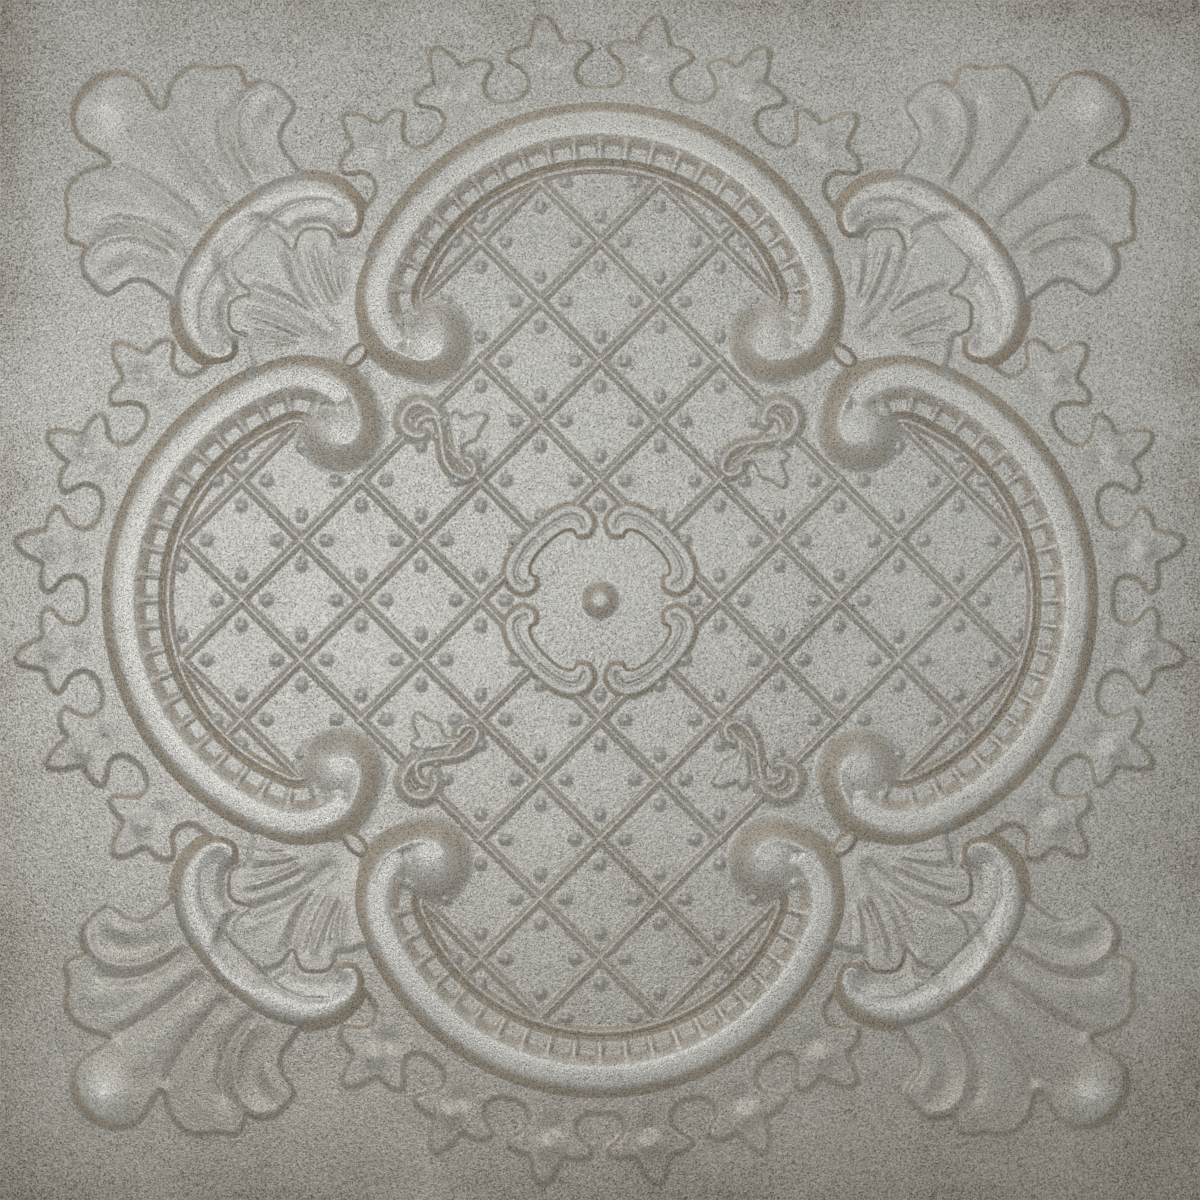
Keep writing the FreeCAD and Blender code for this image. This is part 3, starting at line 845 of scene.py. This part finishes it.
def store(mesh, name, kind, values):
    """Give the mesh a value for each of its points."""
    field = "vector" if kind == "FLOAT_VECTOR" else "value"
    mesh.attributes.new(name, kind, "POINT").data.foreach_set(field, values.astype(np.float32).ravel())


def read(data, field, width):
    """The numbers that a mesh holds, one row for each point."""
    values = np.empty(len(data) * width, np.float32)
    data.foreach_get(field, values)
    return values.reshape(-1, width)


for number in range(WEDGES):
    mine = triangles[wedge_of == number]
    keys, corners = np.unique(mine[..., 0] * len(relief) + mine[..., 1], return_inverse=True)
    column, row = keys // len(relief), keys % len(relief)
    points = np.full((len(keys), 3), SHEET_THICKNESS)
    points[:, 0] = (column - CELLS) * STEP * UNIT
    points[:, 1] = (row - CELLS) * STEP * UNIT
    mesh = bpy.data.meshes.new("blank")
    mesh.from_pydata(points.tolist(), [], corners.reshape(-1, 3).tolist())
    store(mesh, "rise", "FLOAT", relief[column, row])
    store(mesh, "flank", "FLOAT", (steep * rubbed)[column, row])
    lean = np.stack([-slope_x[column, row], -slope_y[column, row], np.ones(len(keys))], 1)
    lean /= np.linalg.norm(lean, axis=1)[:, None]
    store(mesh, "lean", "FLOAT_VECTOR", lean)
    blank = bpy.data.objects.new("blank", mesh)
    bpy.context.collection.objects.link(blank)
    press = blank.modifiers.new("press", "NODES")
    press.node_group = tree
    press[inputs["Depth"]] = UNIT
    press[inputs["Thickness"]] = SHEET_THICKNESS
    press[inputs["Finish"]] = aged.material
    evaluated = blank.evaluated_get(bpy.context.evaluated_depsgraph_get())
    pressed = bpy.data.meshes.new_from_object(evaluated)
    bpy.data.objects.remove(blank)
    # the back leans the same way as the face, so its normals are turned over
    height = read(pressed.vertices, "co", 3)[:, 2]
    normal = read(pressed.attributes["lean"].data, "vector", 3)
    lifted = read(pressed.attributes["rise"].data, "value", 1)[:, 0]
    normal[height < lifted * UNIT + 0.6 * SHEET_THICKNESS] *= -1
    pressed.normals_split_custom_set_from_vertices(normal)
    sheet = bpy.data.objects.new(f"pressed_sheet_wedge_{number + 1}", pressed)
    bpy.context.collection.objects.link(sheet)
    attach(sheet, "root")
    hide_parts("pressed_sheet")

# The floor, the light and the camera: a plain pale floor, six soft lamps whose sheen
# falls on the tile where the photo has it, and a camera that looks straight down.
FLOOR_HALF = 4.0
FLOOR_BELOW = 0.0002
CAMERA_UP = 3.0
FILM_WIDE = 36.0

floor_mesh = bpy.data.meshes.new("floor")
floor_corners = [(-FLOOR_HALF, -FLOOR_HALF, 0), (FLOOR_HALF, -FLOOR_HALF, 0)]
floor_corners += [(FLOOR_HALF, FLOOR_HALF, 0), (-FLOOR_HALF, FLOOR_HALF, 0)]
floor_mesh.from_pydata(floor_corners, [], [(0, 1, 2, 3)])
floor = bpy.data.objects.new("floor", floor_mesh)
# a hair below the tile, so the two never lie in one plane
floor.location.z = -FLOOR_BELOW
bpy.context.collection.objects.link(floor)
pale = Finish("pale floor")
pale.feed(pale.shader.inputs["Base Color"], (0.72, 0.71, 0.69, 1))
pale.feed(pale.shader.inputs["Roughness"], 0.8)
floor_mesh.materials.append(pale.material)


def soft_light(name, place, target, size, power):
    """A round lamp of the given width and power, turned to its target."""
    lamp = bpy.data.lights.new(name, "AREA")
    lamp.shape = "DISK"
    lamp.size = size
    lamp.energy = power
    light = bpy.data.objects.new(name, lamp)
    bpy.context.collection.objects.link(light)
    light.location = place
    light.rotation_euler = (Vector(target) - Vector(place)).to_track_quat("-Z", "Y").to_euler()


soft_light("left of the middle", (-0.21, 0.0, 0.8), (-0.1, 0, 0), 0.28, 1.35)
soft_light("right of the middle", (0.235, 0.02, 0.8), (0.1, 0, 0), 0.28, 0.42)
soft_light("beyond the top edge", (0.0, 0.70, 0.9), (0, 0.1, 0), 0.5, 0.75)
soft_light("low beyond the top edge", (0.0, 1.1, 0.5), (0, 0.1, 0), 0.5, 1.4)
soft_light("upper right", (0.50, 0.30, 0.9), (0, 0, 0), 0.4, 0.3)
soft_light("low at the left", (-0.9, 0.2, 0.6), (0, 0, 0), 0.4, 1.1)
world = bpy.data.worlds.new("studio")
world.use_nodes = True
world.node_tree.nodes["Background"].inputs["Color"].default_value = (1.0, 0.99, 0.97, 1)
world.node_tree.nodes["Background"].inputs["Strength"].default_value = 0.51
bpy.context.scene.world = world
bpy.context.scene.view_settings.view_transform = "Standard"

camera = bpy.data.cameras.new("camera")
camera.sensor_width = FILM_WIDE
camera.lens = FILM_WIDE * CAMERA_UP / TILE_SIDE
view = bpy.data.objects.new("camera", camera)
view.location = (0, 0, CAMERA_UP)
bpy.context.collection.objects.link(view)
bpy.context.scene.camera = view
